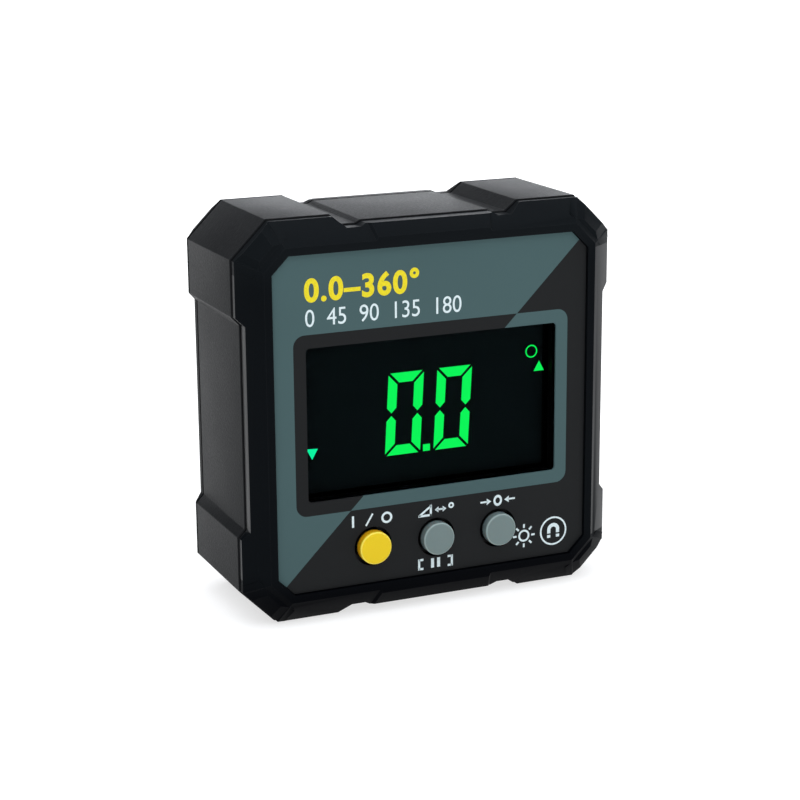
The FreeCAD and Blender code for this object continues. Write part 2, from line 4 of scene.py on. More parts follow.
import bmesh
import bpy
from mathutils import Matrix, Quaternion, Vector
from mathutils.geometry import delaunay_2d_cdt


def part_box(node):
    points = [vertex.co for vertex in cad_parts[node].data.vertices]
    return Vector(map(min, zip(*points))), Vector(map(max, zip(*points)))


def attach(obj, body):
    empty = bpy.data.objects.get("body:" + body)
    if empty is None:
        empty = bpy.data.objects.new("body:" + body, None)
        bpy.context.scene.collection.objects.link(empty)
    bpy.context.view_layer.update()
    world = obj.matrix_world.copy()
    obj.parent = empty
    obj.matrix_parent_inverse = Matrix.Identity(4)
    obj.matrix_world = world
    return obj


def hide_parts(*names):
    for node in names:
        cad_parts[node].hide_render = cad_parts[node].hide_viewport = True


# Looks of a square digital angle box. Z is up, the display faces -Y, and the origin is on the floor
# under its middle. The frame is in metres; sizes here are in millimetres, and mm turns them into metres.

mm = 0.001
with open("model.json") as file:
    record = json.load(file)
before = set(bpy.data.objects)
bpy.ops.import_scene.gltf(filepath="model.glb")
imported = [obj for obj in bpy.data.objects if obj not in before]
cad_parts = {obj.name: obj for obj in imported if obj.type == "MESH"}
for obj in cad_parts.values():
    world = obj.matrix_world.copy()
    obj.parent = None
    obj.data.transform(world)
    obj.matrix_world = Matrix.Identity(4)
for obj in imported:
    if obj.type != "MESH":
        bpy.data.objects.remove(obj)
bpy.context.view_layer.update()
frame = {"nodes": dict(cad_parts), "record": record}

# Moulded edges, with angles in degrees
weld_distance = 0.02
flat_angle = 1.0
crease_angle = 12.0
smooth_angle = 30.0
edge_segments = 3
rim_edge = 0.6
bezel_edge = 0.2
housing_edge = 0.14
cover_edge = 0.2
door_edge = 0.18
seam_edge = 0.07
largest_edge = max(rim_edge, bezel_edge, housing_edge, cover_edge, door_edge)
shortest_edge = 0.12
joint_band = 0.01
step_band = 0.02

# How far in from the outline of the case, or from its back, the shells have edges to round
label_seat_inset = 4.0
housing_rim = 2.1
cover_rim = 4.0
back_rim = 0.9

# Corner cuts of the case, the label's window, holes and printed frame round the window, and how finely
# these are drawn
case_corner = 5.4
window_half_x = 20.1
window_half_z = 11.5
window_corner = 0.6
button_hole_radius = 3.0
cap_rounding = 0.35
frame_half_x = 22.0
frame_half_z = 13.5
frame_corner = 1.7
corner_steps = 8
circle_steps = 72
arc_step = 6.0
fewest_steps = 4
letter_steps = 8
outline_tolerance = 0.00001
ink_lift = 0.015
ink_weld = 0.0001

# Lettering on the label, with its places as (left, bottom), (right, top)
title_place = (-20.2, 48.15), (-2.35, 51.85)
title_words = "0.0–360°"
title_weight = 0.034
title_spacing = 1.12
scale_place = (-20.1, 44.65), (4.4, 47.15)
scale_words = "0  45  90  135  180"

# Captions of the buttons: a middle, and from there strokes as (start, end, width), tips as triangles and
# rings as (middle, radius, width, stretch)
caption_line = 0.34
thin_line = 0.272
caption_top = 0.88
caption_rail = caption_top - caption_line / 2
power_caption = (-10.3, 14.72)
power_strokes = (
    ((-2.9, -caption_top), (-2.9, caption_top), caption_line),
    ((-0.85, -caption_top), (0.25, caption_top), thin_line),
)
power_rings = [((2.5, 0.0), caption_rail, caption_line, 1.0)]
mode_caption = (0.2, 14.82)
mode_strokes = (
    ((-2.9, -caption_rail), (-0.7, -caption_rail), caption_line),
    ((-2.8, -caption_rail), (-0.8, caption_rail), 0.306),
    ((-0.85, -caption_top), (-0.85, caption_top), caption_line),
    ((0.1, 0.0), (1.3, 0.0), thin_line),
)
mode_tips = (
    ((-0.2, 0.0), (0.4, 0.45), (0.4, -0.45)),
    ((1.7, 0.0), (1.1, 0.45), (1.1, -0.45)),
)
mode_rings = [((2.5, 0.38), 0.33, thin_line, 1.0)]
hold_caption = (0.1, 6.52)
hold_strokes = (
    ((0.5, -0.748), (0.5, 0.748), 0.5),
    ((2.7, -caption_top), (2.7, caption_top), caption_line),
    ((2.0, -caption_rail), (2.7, -caption_rail), caption_line),
    ((2.0, caption_rail), (2.7, caption_rail), caption_line),
)
zero_caption = (10.47, 14.9)
zero_strokes = [((2.9, 0.0), (1.7, 0.0), thin_line)]
zero_tips = [((1.1, 0.0), (1.85, 0.5), (1.85, -0.5))]
zero_rings = [((0.0, 0.0), 0.55, caption_line, 1.22)]

# Small marks on the label's lower right: a lamp and a magnet
mark_line = 0.3
lamp_mark = (14.95, 8.65)
lamp_ring = 0.8
lamp_rays = 8
ray_start = 1.25
ray_end = 1.85
magnet_mark = (20.0, 8.75)
magnet_ring = 2.15
magnet_bend = 0.76
magnet_bar = 0.56
magnet_bend_rise = 0.2
magnet_legs = (0.2, -0.35), (-0.6, -1.05)

# Marks of the display
digit_height = 12.55
digit_width = 5.71
digit_slant = 0.057
digit_bar = 1.5
digit_cut = 0.28
digit_tip = 0.2
digit_shoulder = 1.0
digit_base = 23.1
digit_places = -6.64, 1.25
dot_place = (-0.45, 23.14), (0.7, 24.2)
degree_centre = (17.6, 36.65)
degree_radius = 1.0
degree_line = 0.2
up_mark = (18.0, 33.5), (19.78, 33.5), (18.92, 35.07)
down_mark = (-19.07, 25.7), (-18.19, 24.0), (-17.28, 25.6)
display_lift = 0.02
# Widths and black of the band painted round the display as shade of the window's edges
window_shade_x = 0.6
window_shade_z = 0.4
window_edge_shade = (0.0003, 0.0003, 0.0004)

# Heights where the bezel's black turns from painted shade near the floor to plain, and from plain to
# painted light at the top
painted_shade_heights = 3.0, 9.0
painted_light_heights = 50.0, 56.0

# Black plastics, and the tint of their gloss; the bezel's deepest black is painted shade near the floor and
# its palest is painted light at the top
painted_shade_black = (0.0001, 0.0002, 0.0009)
black = (0.0024, 0.0032, 0.0042)
painted_light_black = (0.0043, 0.0055, 0.0066)
# Lighter black painted on rounded edges as a highlight
edge_highlight_black = (0.009, 0.0105, 0.012)
shell_black = (0.0075, 0.0078, 0.0085)
cool_gloss = (0.88, 0.96, 1.0)

# Gloss of the bezel's rubbed sides and edges: how far they turn away, how strong it is, and the heights
# from the middle between which it fades
shine_turn = 0.48, 0.58
shine_weight = 0.3
low_shine_weight = 0.14
low_shine_heights = -16.0, 4.0
edge_shine_weight = 0.17

# Label film and inks
label_black = (0.0082, 0.009, 0.0096)
label_teal = (0.051, 0.0925, 0.096)
ink_white = (0.62, 0.72, 0.74)
ink_yellow = (0.72, 0.6, 0.012)

# Face, rim and side of each silicone, where the rim is a painted highlight and the side painted shade, the
# painted shade it turns to where it is sunk in the case, and how far before and behind the label's front
# that starts and is complete
yellow_rubber = (0.69, 0.49, 0.002), (0.88, 0.74, 0.1), (0.55, 0.28, 0.002)
grey_rubber = (0.134, 0.18, 0.177), (0.27, 0.34, 0.33), (0.115, 0.15, 0.15)
strip_rubber = (0.25, 0.25, 0.26), (0.3, 0.3, 0.31), (0.2, 0.2, 0.21)
painted_sunk_shade = (0.004, 0.004, 0.004)
sunk_before = 0.1
sunk_behind = 0.4

# Display: its lit marks, how far left of the middle they turn from green to cyan, and its unlit glass
lit_green = (0.0044, 0.9, 0.1)
lit_cyan = (0.0044, 0.9, 0.35)
cyan_places = 7.0, 17.0
unlit_deep = (0.0041, 0.0068, 0.0076)
unlit_pale = (0.0046, 0.0076, 0.0085)
pane_tint = (0.9, 0.95, 1.0)

# Battery cell: distances from its middle at which the dark ring starts and ends and the sleeve ends
ring_start = 17.6
ring_end = 18.6
sleeve_end = 21.4
sleeve_grey = (0.3, 0.32, 0.33)
ring_blue = (0.02, 0.045, 0.06)
bare_metal = (0.6, 0.6, 0.58)

# Solder mask of the board, plain and over its copper tracks, with the tracks' number per millimetre and
# the share of their spacing that stays plain
mask_green = (0.006, 0.075, 0.03)
track_green = (0.012, 0.14, 0.055)
tracks_per_mm = 0.9
track_share = 0.6

# Brightness of the studio overhead, at middle height, in front, at the horizon, and low behind and to
# the right; then the directions of the last two, and the heights and turns between which each light fades
sky_overhead = 2.4
sky_middle = 0.21
sky_front = 0.35
sky_horizon = 0.95
sky_behind = 3.8
sky_right = 5.0
sky_colour = (0.965, 0.99, 1.03)
behind_toward = 0.6, 0.8
right_toward = 0.95, 0.3
overhead_heights = 0.55, 0.85
horizon_heights = 0.05, 0.2
behind_heights = 0.18, 0.34
front_turns = 0.2, 0.9
behind_turns = 0.8, 0.93
right_turns = 0.8, 0.97

# Floor: how much it glows by itself near the part and further off, and between which distances that grows
floor_half = 4000.0
floor_glow = 0.68
far_glow = 0.2
far_floor = 45.0, 110.0
floor_grey = 0.38, 0.4

# Camera, from the perspective of the case in the photograph
camera_turn = -23.63
camera_height = 14.736
camera_roll = 0.44
camera_distance = 314.515
camera_aim = (-0.323, -0.154, 28.972)
focal_share = 2.578
sensor_width = 36.0


def box_mm(node):
    low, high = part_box(node)
    return low / mm, high / mm


def middle_mm(node):
    """Middle of a node, seen from the front."""
    low, high = box_mm(node)
    return (low.x + high.x) / 2, (low.z + high.z) / 2


case_low, case_high = box_mm("mid_housing")
case_half = case_high.x
case_mid_z = (case_low.z + case_high.z) / 2
label_low, label_high = box_mm("face_label")
label_front = label_low.y
label_half = label_high.x
label_corner = case_corner - (2 - math.sqrt(2)) * (case_half - label_half)
bezel_step = case_half - box_mm("front_bezel")[1].x
cover_back = box_mm("rear_cover")[1].y
display_front = box_mm("lcd_panel")[0].y
cap_front = box_mm("power_button")[0].y
cap_proud = label_front - cap_front
button_holes = [middle_mm(node) for node in ("power_button", "hold_button", "zero_button")]


class Wire:
    """Output of a node that takes part in expressions: each operator adds a Math node."""

    def __init__(self, finish, socket):
        self.finish = finish
        self.socket = socket

    def math(self, operation, *values):
        inputs = dict(zip(("Value", "Value_001", "Value_002"), values))
        return self.finish.node("Math", {"operation": operation}, inputs)

    def __add__(self, other):
        return self.math("ADD", self, other)

    def __radd__(self, other):
        return self.math("ADD", other, self)

    def __sub__(self, other):
        return self.math("SUBTRACT", self, other)

    def __rsub__(self, other):
        return self.math("SUBTRACT", other, self)

    def __mul__(self, other):
        return self.math("MULTIPLY", self, other)

    def above(self, other):
        return self.math("GREATER_THAN", self, other)

    def size(self):
        return self.math("ABSOLUTE", self)

    def fraction(self):
        return self.math("FRACT", self)

    def between(self, low, high):
        """0 below low, 1 above high and a smooth ramp between them."""
        settings = {"interpolation_type": "SMOOTHSTEP"}
        return self.finish.node("MapRange", settings, {"Value": self, "From Min": low, "From Max": high})


def named(sockets, identifier):
    return next(socket for socket in sockets if socket.identifier == identifier)


class Graph:
    """Nodes that feed one shader; their sockets take numbers, colours or wires."""

    def __init__(self, owner, shader):
        owner.use_nodes = True
        self.tree = owner.node_tree
        self.shader = self.tree.nodes[shader]

    def feed(self, node, identifier, value):
        socket = named(node.inputs, identifier)
        if isinstance(value, Wire):
            self.tree.links.new(value.socket, socket)
        elif socket.type == "RGBA":
            socket.default_value = (*value, 1.0)
        else:
            socket.default_value = value

    def node(self, kind, settings=None, inputs=None, output=None):
        made = self.tree.nodes.new("ShaderNode" + kind)
        for name, value in (settings or {}).items():
            setattr(made, name, value)
        for identifier, value in (inputs or {}).items():
            self.feed(made, identifier, value)
        return Wire(self, named(made.outputs, output) if output else made.outputs[0])

    def set(self, values):
        for identifier, value in values.items():
            self.feed(self.shader, identifier, value)

    def mix(self, factor, first, second):
        settings = {"data_type": "RGBA"}
        inputs = {"Factor_Float": factor, "A_Color": first, "B_Color": second}
        return self.node("Mix", settings, inputs, "Result_Color")


class Finish(Graph):
    """Material with a Principled shader and textures that follow the part."""

    def __init__(self, name, roughness=0.5, specular=0.5, colour=(0.0, 0.0, 0.0)):
        self.material = bpy.data.materials.new(name)
        super().__init__(self.material, "Principled BSDF")
        self.set({"Base Color": colour, "Roughness": roughness, "Specular IOR Level": specular})

    def place(self):
        """Place on the part, in metres."""
        return self.node("TexCoord", output="Object")

    def along(self, axis):
        """Height or distance on the part along one axis, in millimetres."""
        parts = self.node("SeparateXYZ", inputs={"Vector": self.place()}, output=axis)
        return parts * (1 / mm)

    def noise(self, per_mm, detail=2.0, roughness=0.5, distortion=0.0):
        inputs = {
            "Vector": self.place(), "Scale": per_mm / mm, "Detail": detail, "Roughness": roughness,
            "Distortion": distortion,
        }
        return self.node("TexNoise", inputs=inputs)

    def specks(self, per_mm):
        """Distance from the middle of scattered cells, for pits and flakes."""
        return self.node("TexVoronoi", inputs={"Vector": self.place(), "Scale": per_mm / mm})

    def relief(self, height, depth):
        """Fine relief of the surface, as deep as depth in millimetres."""
        inputs = {"Height": height, "Distance": depth * mm}
        self.set({"Normal": self.node("Bump", inputs=inputs)})


def shaded(colour, share):
    return tuple(part * share for part in colour)


def grained(name, roughness, specular, grain, depth):
    """Finish with fine pores, faint clouds and a few handling marks, given with its pores and clouds."""
    finish = Finish(name, specular=specular)
    pores = finish.noise(grain, 3.0, 0.6)
    clouds = finish.noise(0.09, 3.0)
    rubbed = finish.noise(0.35, 4.0, 0.65, 0.6).between(0.55, 0.8)
    finish.set({
        "Specular Tint": cool_gloss,
        "Roughness": roughness + (pores - 0.5) * 0.2 + (clouds - 0.5) * 0.1 - rubbed * 0.05,
    })
    finish.relief(pores, depth)
    return finish, pores, clouds


def plastic(name, colour, roughness, specular, grain, depth):
    """Moulded plastic whose tone follows its grain and clouds."""
    finish, pores, clouds = grained(name, roughness, specular, grain, depth)
    tone = finish.mix(pores * 0.5 + clouds * 0.5, shaded(colour, 0.8), shaded(colour, 1.25))
    finish.set({"Base Color": tone})
    return finish.material


def shell_plastic(name, roughness, grain, depth):
    return plastic(name, shell_black, roughness, 0.068, grain, depth)


def black_with_painted_light(name, colour, painted_light_colour):
    """Black plastic of the bezel, with painted shade near the floor and painted light at the top."""
    finish = grained(name, 0.4, 0.028, 2.2, 0.006)[0]
    height = finish.along("Z")
    # Painted shade towards the floor, then painted light towards the top
    plain = finish.mix(height.between(*painted_shade_heights), painted_shade_black, colour)
    finish.set({"Base Color": finish.mix(height.between(*painted_light_heights), plain, painted_light_colour)})
    return finish


def edge_highlight_finish(name):
    """Edges in a lighter black as a painted highlight, with painted shade near the floor; they are shinier
    than the faces beside them except near the floor.
    """
    # Painted highlight: a lighter black on the edges, with painted shade near the floor
    finish = black_with_painted_light(name, edge_highlight_black, edge_highlight_black)
    shine = finish.along("Z").between(*painted_shade_heights) * edge_shine_weight
    finish.set({"Coat Weight": shine, "Coat Roughness": 0.4})
    return finish.material


def bezel_plastic(name):
    """Black plastic that is rubbed along its upright sides, where it shines at low angles."""
    # Plain black between painted shade near the floor and painted light at the top
    finish = black_with_painted_light(name, black, painted_light_black)
    height = finish.along("Z") - case_mid_z
    beside_label = finish.along("X").size().above(label_half)
    between_corners = 1.0 - height.size().above(label_half - label_corner)
    turned_away = finish.node("LayerWeight", inputs={"Blend": 0.5}, output="Facing").between(*shine_turn)
    strength = (1.0 - height.between(*low_shine_heights)) * low_shine_weight + shine_weight
    shine = turned_away * beside_label * between_corners * strength
    finish.set({"Coat Weight": shine, "Coat Roughness": 0.3})
    return finish.material


def metal(name, colour, roughness, grain=2.0):
    """Plated or drawn metal with faint scratches and patches."""
    finish = Finish(name)
    patches = finish.noise(0.4, 3.0)
    scratches = finish.noise(grain, 4.0, 0.7, 1.5)
    finish.set({
        "Metallic": 1.0,
        "Base Color": finish.mix(patches, shaded(colour, 0.82), colour),
        "Roughness": roughness + (scratches - 0.5) * 0.25,
    })
    finish.relief(scratches, 0.004)
    return finish.material


def rubber(name, colour, rim, side):
    """Soft silicone of a button cap: a painted highlight along its rim, painted shade down its side, and
    painted shade where it is sunk in the case.
    """
    finish = Finish(name, specular=0.25)
    grain = finish.noise(4.0, 3.0)
    clouds = finish.noise(0.4, 2.0)
    depth = finish.along("Y") - cap_front
    # Painted highlight on the rim, painted shade down the side and where the cap sinks into the case
    on_rim = depth.between(0.0, cap_rounding * 0.3) - depth.between(cap_rounding * 0.4, cap_rounding)
    side_shade = depth.between(cap_rounding * 0.4, cap_rounding * 2)
    sunk_shade = depth.between(cap_proud - sunk_before, cap_proud + sunk_behind)
    face = finish.mix(on_rim, finish.mix(clouds, colour, shaded(colour, 1.06)), rim)
    finish.set({
        "Base Color": finish.mix(sunk_shade, finish.mix(side_shade, face, side), painted_sunk_shade),
        "Roughness": 0.5 + (grain - 0.5) * 0.2,
        "Subsurface Weight": 0.1,
        "Subsurface Scale": 0.6 * mm,
    })
    finish.relief(grain, 0.003)
    return finish.material


def ink(name, colour):
    """Screen-printed ink, slightly uneven in cover."""
    finish = Finish(name, specular=0.2)
    cover = finish.noise(2.5, 3.0)
    finish.set({
        "Base Color": finish.mix(cover.between(0.35, 0.65), shaded(colour, 0.9), colour),
        "Roughness": 0.5 + (cover - 0.5) * 0.2,
    })
    finish.relief(cover, 0.002)
    return finish.material


def label_film(name, colour):
    """Printed polycarbonate film with a fine matt texture."""
    finish = Finish(name, specular=0.1)
    texture = finish.noise(7.0, 2.0, 0.6)
    clouds = finish.noise(0.05, 2.0)
    finish.set({
        "Base Color": finish.mix(clouds, shaded(colour, 0.93), shaded(colour, 1.07)),
        "Roughness": 0.5 + (texture - 0.5) * 0.15,
    })
    finish.relief(texture, 0.004)
    return finish.material


def glowing_marks(name):
    """Lit segments: green, turning towards cyan at the far left."""
    finish = Finish(name, specular=0.0)
    far_left = (finish.along("X") * -1.0).between(*cyan_places)
    finish.set({
        "Emission Color": finish.mix(far_left, lit_green, lit_cyan),
        "Emission Strength": 1.0,
    })
    return finish.material


def display_glass(name):
    """Dark glass of the display: its cells are a little uneven, and a black band painted round them is
    painted shade from the window's edges.
    """
    finish = Finish(name, specular=0.0)
    cells = finish.noise(0.08, 2.0)
    beside = finish.along("X").size().above(window_half_x - window_shade_x)
    beyond = (finish.along("Z") - case_mid_z).size().above(window_half_z - window_shade_z)
    unlit = finish.mix(cells, unlit_deep, unlit_pale)
    # Painted shade along the window's edges
    edge_shaded = finish.mix(beside, unlit, window_edge_shade)
    finish.set({
        "Base Color": finish.mix(beyond, edge_shaded, window_edge_shade),
        "Roughness": 0.3 + cells * 0.1,
    })
    return finish.material


def clear_pane(name):
    """Clear pane with an anti-glare coat: it only mirrors at a low angle."""
    finish = Finish(name, colour=pane_tint)
    smears = finish.noise(0.3, 3.0)
    coat = finish.node("Fresnel", inputs={"IOR": 1.45}).between(0.05, 1.0)
    finish.set({"Metallic": 1.0, "Alpha": coat, "Roughness": 0.03 + smears * 0.05})
    return finish.material


def circuit_board(name):
    """Green solder mask with copper tracks that show as slightly raised lighter lines."""
    finish = Finish(name, roughness=0.35)
    across = (finish.along("X") * tracks_per_mm).fraction()
    tracks = across.above(track_share) * finish.noise(0.22, 1.0).above(0.5)
    finish.set({"Base Color": finish.mix(tracks, mask_green, track_green)})
    finish.relief(tracks, 0.03)
    return finish.material


def foam(name, colour):
    """Open-cell foam."""
    finish = Finish(name, specular=0.1)
    cells = finish.specks(3.0)
    finish.set({
        "Base Color": finish.mix(cells, shaded(colour, 0.3), colour),
        "Roughness": 0.95,
    })
    finish.relief(cells, 0.12)
    return finish.material


def cell_jacket(name):
    """Plain grey sleeve of a battery cell with a dark ring near each end and bare metal ends."""
    finish = Finish(name)
    from_middle = finish.along("X").size()
    ring = from_middle.above(ring_start) * (1.0 - from_middle.above(ring_end))
    bare = from_middle.above(sleeve_end)
    scuffs = finish.noise(0.8, 4.0, 0.7, 0.8)
    sleeve = finish.mix(ring, sleeve_grey, ring_blue)
    finish.set({
        "Base Color": finish.mix(bare, sleeve, bare_metal),
        "Metallic": bare,
        "Roughness": 0.35 + (scuffs - 0.5) * 0.25,
    })
    return finish.material


def resin(name, colour, roughness=0.4):
    """Moulded resin of an electronic part."""
    finish = Finish(name)
    grain = finish.noise(3.0, 3.0)
    finish.set({
        "Base Color": finish.mix(grain, shaded(colour, 0.8), colour),
        "Roughness": roughness + (grain - 0.5) * 0.2,
    })
    finish.relief(grain, 0.006)
    return finish.material


finishes = {
    "bezel_plastic": bezel_plastic("bezel_plastic"),
    "housing_plastic": shell_plastic("housing_plastic", 0.5, 2.6, 0.045),
    "cover_plastic": shell_plastic("cover_plastic", 0.5, 3.2, 0.02),
    "door_plastic": shell_plastic("door_plastic", 0.48, 3.2, 0.018),
    "label_film": label_film("label_film", label_black),
    "clear_pane": clear_pane("clear_pane"),
    "display_glass": display_glass("display_glass"),
    "frame_plastic": plastic("frame_plastic", (0.005, 0.005, 0.005), 0.6, 0.2, 2.0, 0.01),
    "black_foam": foam("black_foam", (0.006, 0.006, 0.006)),
    "light_guide": resin("light_guide", (0.75, 0.78, 0.75), 0.2),
    "lamp_resin": resin("lamp_resin", (0.8, 0.75, 0.4), 0.3),
    "contact_rubber": rubber("contact_rubber", *strip_rubber),
    "cell_jacket": cell_jacket("cell_jacket"),
    "contact_metal": metal("contact_metal", (0.7, 0.69, 0.66), 0.3),
    "board_laminate": circuit_board("board_laminate"),
    "chip_resin": resin("chip_resin", (0.012, 0.012, 0.013)),
    "crystal_can": metal("crystal_can", (0.72, 0.72, 0.7), 0.25),
    "capacitor_ceramic": resin("capacitor_ceramic", (0.35, 0.24, 0.14)),
    "screw_steel": metal("screw_steel", (0.16, 0.16, 0.165), 0.36, 3.0),
    "yellow_button": rubber("yellow_button", *yellow_rubber),
    "grey_button": rubber("grey_button", *grey_rubber),
    "plunger_plastic": plastic("plunger_plastic", (0.02, 0.02, 0.02), 0.5, 0.4, 2.0, 0.006),
    "switch_plastic": plastic("switch_plastic", (0.03, 0.03, 0.03), 0.5, 0.4, 2.0, 0.006),
    "magnet_metal": metal("magnet_metal", (0.6, 0.6, 0.6), 0.22),
}
teal_film = label_film("teal_film", label_teal)
white_ink = ink("white_ink", ink_white)
painted_edge_highlight = edge_highlight_finish("painted_edge_highlight")
yellow_ink = ink("yellow_ink", ink_yellow)
lit_marks = glowing_marks("lit_marks")


def new_piece(name, shape, materials, body="case"):
    """Object made of a bmesh, which rides on a body."""
    mesh = bpy.data.meshes.new(name)
    shape.to_mesh(mesh)
    shape.free()
    for material in materials:
        mesh.materials.append(material)
    piece = bpy.data.objects.new(name, mesh)
    bpy.context.scene.collection.objects.link(piece)
    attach(piece, body)
    return piece


def dress_cad_nodes():
    """Each node that the CAD model keeps gets the finish of its slot."""
    for subpart in frame["record"]["subparts"]:
        materials = frame["nodes"][subpart["node"]].data.materials
        materials.clear()
        materials.append(finishes[subpart["material_slot"]])


def rounded_copy(node, slot, radius_at, edge_finish=None, body="case"):
    """Copy of a moulded node with its outer edges rounded. It stands for the node.

    radius_at gives the radius of the edges at a point, which is 0 where they stay sharp.
    """
    shape = bmesh.new()
    shape.from_mesh(frame["nodes"][node].data)
    bmesh.ops.remove_doubles(shape, verts=shape.verts, dist=weld_distance * mm)
    bmesh.ops.dissolve_limit(
        shape, angle_limit=math.radians(flat_angle), verts=shape.verts, edges=shape.edges,
    )
    weight = shape.edges.layers.float.new("bevel_weight_edge")
    for face in shape.faces:
        face.smooth = True
    for edge in shape.edges:
        angle = math.degrees(edge.calc_face_angle(0.0))
        radius = min(radius_at(corner.co / mm) for corner in edge.verts)
        if angle < crease_angle or edge.calc_length() < shortest_edge * mm:
            radius = 0.0
        edge[weight] = radius / largest_edge
        edge.smooth = radius > 0 or angle < smooth_angle
    materials = [finishes[slot]]
    if edge_finish:
        materials.append(edge_finish)
    piece = new_piece(node + "_moulding", shape, materials, body)
    bevel = piece.modifiers.new("rounded edges", "BEVEL")
    bevel.limit_method = "WEIGHT"
    bevel.width = largest_edge * mm
    bevel.segments = edge_segments
    bevel.harden_normals = True
    bevel.material = 1 if edge_finish else -1
    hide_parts(node)


def octagon_inset(point):
    """Distance of a point inside the case's octagon, seen from the front."""
    x = abs(point.x)
    z = abs(point.z - case_mid_z)
    corner = (x + z - (2 * case_half - case_corner)) / math.sqrt(2)
    return -max(x - case_half, z - case_half, corner)


def bezel_radius(point):
    inset = octagon_inset(point)
    in_label_seat = inset > label_seat_inset and point.y > label_front
    if inset > case_half - label_half or in_label_seat or point.y > case_low.y + joint_band:
        return 0.0
    if point.y > case_low.y - joint_band:
        return seam_edge
    return rim_edge if inset < bezel_step + step_band else bezel_edge


def housing_radius(point):
    return housing_edge if octagon_inset(point) < housing_rim else 0.0


def cover_radius(point):
    if point.y > cover_back - back_rim:
        return cover_edge
    on_rim = octagon_inset(point) < cover_rim and point.y > case_high.y - joint_band
    if not on_rim:
        return 0.0
    return seam_edge if point.y < case_high.y + joint_band else cover_edge


def door_radius(point):
    return door_edge if point.y > cover_back - back_rim else 0.0


def make_shells():
    # The rounded edges of the bezel, cover and door carry a painted highlight
    rounded_copy("front_bezel", "bezel_plastic", bezel_radius, painted_edge_highlight)
    rounded_copy("mid_housing", "housing_plastic", housing_radius)
    rounded_copy("rear_cover", "cover_plastic", cover_radius, painted_edge_highlight)
    rounded_copy("battery_door", "door_plastic", door_radius, painted_edge_highlight, "door")


def arc_points(centre, radius, start, end, steps):
    """Points of an arc, with angles in degrees from the right, anticlockwise."""
    points = []
    for i in range(steps + 1):
        angle = math.radians(start + (end - start) * i / steps)
        points.append((centre[0] + radius * math.cos(angle), centre[1] + radius * math.sin(angle)))
    return points


def rounded_outline(half_x, half_z, radius):
    """Rounded rectangle round the case's middle."""
    points = []
    for quarter, (x, z) in enumerate(((1, 1), (-1, 1), (-1, -1), (1, -1))):
        corner = (x * (half_x - radius), case_mid_z + z * (half_z - radius))
        points += arc_points(corner, radius, 90 * quarter, 90 * quarter + 90, corner_steps)
    return points


def octagon_outline(half, leg):
    """Square round the case's middle with its corners cut off; leg is a cut's length along a side."""
    flat = half - leg
    quarter = [(half, flat), (flat, half)]
    points = quarter + [(-z, x) for x, z in quarter]
    points += [(-x, -z) for x, z in quarter]
    points += [(z, -x) for x, z in quarter]
    return [(x, case_mid_z + z) for x, z in points]


def in_rounded(x, z, half_x, half_z, radius):
    """Whether a point of the label lies inside a rounded rectangle round the case's middle."""
    over_x = max(abs(x) - (half_x - radius), 0.0)
    over_z = max(abs(z - case_mid_z) - (half_z - radius), 0.0)
    return math.hypot(over_x, over_z) < radius


def label_outlines():
    """Points and lines of the label's front: its rim, window, printed frame, holes and colour border."""
    outlines = [
        octagon_outline(label_half, label_corner),
        rounded_outline(window_half_x, window_half_z, window_corner),
        rounded_outline(frame_half_x, frame_half_z, frame_corner),
    ]
    for hole in button_holes:
        outlines.append(arc_points(hole, button_hole_radius, 0, 360, circle_steps)[:-1])
    points = []
    lines = []
    for outline in outlines:
        first = len(points)
        points += outline
        count = len(outline)
        lines += [(first + i, first + (i + 1) % count) for i in range(count)]
    corner = label_half - label_corner / 2
    lines.append((len(points), len(points) + 1))
    points += [(-corner, case_mid_z - corner), (corner, case_mid_z + corner)]
    return [Vector(point) for point in points], lines


def on_label(x, z):
    """Whether a point lies on the film: inside its rim, and outside its window and holes."""
    if in_rounded(x, z, window_half_x, window_half_z, window_corner):
        return False
    if any(math.dist((x, z), hole) < button_hole_radius for hole in button_holes):
        return False
    across = abs(x)
    up = abs(z - case_mid_z)
    return max(across, up) <= label_half and across + up <= 2 * label_half - label_corner


def make_label():
    """Label film, whose front is split where its two colours meet."""
    points, lines = label_outlines()
    places, _, faces, _, _, _ = delaunay_2d_cdt(points, lines, [], 0, outline_tolerance)
    shape = bmesh.new()
    corners = [shape.verts.new(Vector((p.x, label_front, p.y)) * mm) for p in places]
    for face in faces:
        x = sum(places[i].x for i in face) / len(face)
        z = sum(places[i].y for i in face) / len(face)
        if not on_label(x, z):
            continue
        above = z - case_mid_z > x
        framed = in_rounded(x, z, frame_half_x, frame_half_z, frame_corner)
        made = shape.faces.new([corners[i] for i in face])
        made.material_index = 1 if above != framed else 0
    bmesh.ops.recalc_face_normals(shape, faces=shape.faces)
    rim = [edge for edge in shape.edges if edge.is_boundary]
    walls = bmesh.ops.extrude_edge_only(shape, edges=rim)["geom"]
    moved = [item for item in walls if isinstance(item, bmesh.types.BMVert)]
    bmesh.ops.translate(shape, verts=moved, vec=Vector((0, label_high.y - label_low.y, 0)) * mm)
    loose = [vert for vert in shape.verts if not vert.link_faces]
    bmesh.ops.delete(shape, geom=loose, context="VERTS")
    piece = new_piece("label_sheet", shape, [finishes["label_film"], teal_film])
    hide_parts("face_label")


